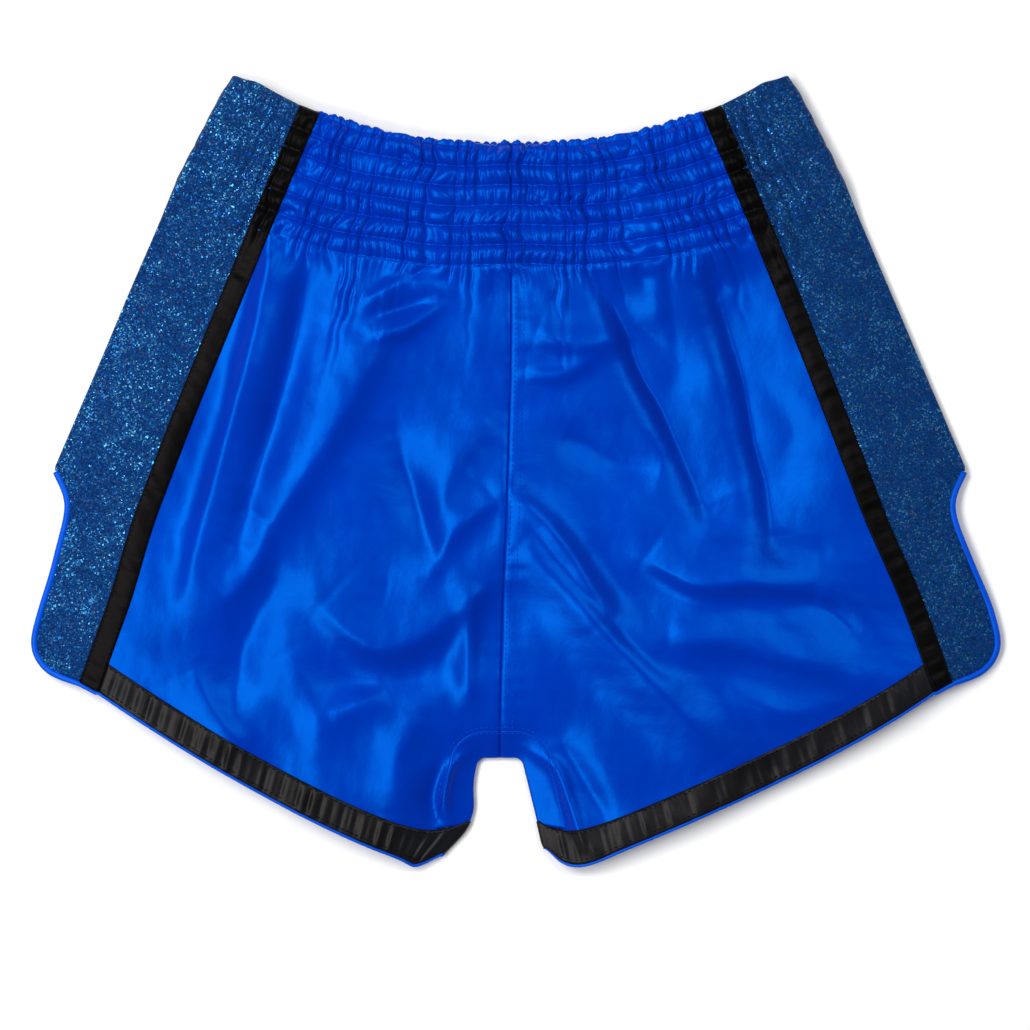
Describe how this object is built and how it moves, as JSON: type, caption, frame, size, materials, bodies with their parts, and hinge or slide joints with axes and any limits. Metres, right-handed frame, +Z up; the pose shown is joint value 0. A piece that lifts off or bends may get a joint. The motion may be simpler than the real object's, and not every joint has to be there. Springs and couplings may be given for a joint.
{
  "type": "boxing shorts",
  "caption": "Satin boxing shorts with a gathered elastic waistband, side vents, ribbon trim and bound hems, lying flat.",
  "frame": {"origin": "middle of the box, on the surface that the shorts lie on", "axes": "+X across the shorts to the viewer's right, +Y from the crotch up to the waist, +Z up, out of the front"},
  "size_m": [0.5296, 0.4348, 0.02],
  "materials": {
    "satin": "royal blue polyester satin with a soft sheen",
    "glitter_cloth": "navy knit with foil specks",
    "ribbon": "black double-face satin ribbon",
    "binding": "royal blue satin bias binding",
    "elastic": "woven white elastic"
  },
  "bodies": {
    "right_half": {"front_panel_right": "satin", "back_panel_right": "satin", "side_panel_right": "glitter_cloth", "front_ribbon_right": "ribbon", "back_ribbon_right": "ribbon", "hem_band_right": "ribbon", "hem_binding_right": "binding", "gusset_right": "satin", "waist_elastic_right": "elastic", "waist_facing_right": "satin"},
    "left_half": {"front_panel_left": "satin", "back_panel_left": "satin", "side_panel_left": "glitter_cloth", "front_ribbon_left": "ribbon", "back_ribbon_left": "ribbon", "hem_band_left": "ribbon", "hem_binding_left": "binding", "gusset_left": "satin", "waist_elastic_left": "elastic", "waist_facing_left": "satin"}
  },
  "joints": [
    {"name": "fold_in_half", "type": "hinge", "parent": "right_half", "child": "left_half", "pos_m": [0, 0, 0.0245], "axis": [0, 1, 0], "range_deg": [0, 180]}
  ]
}
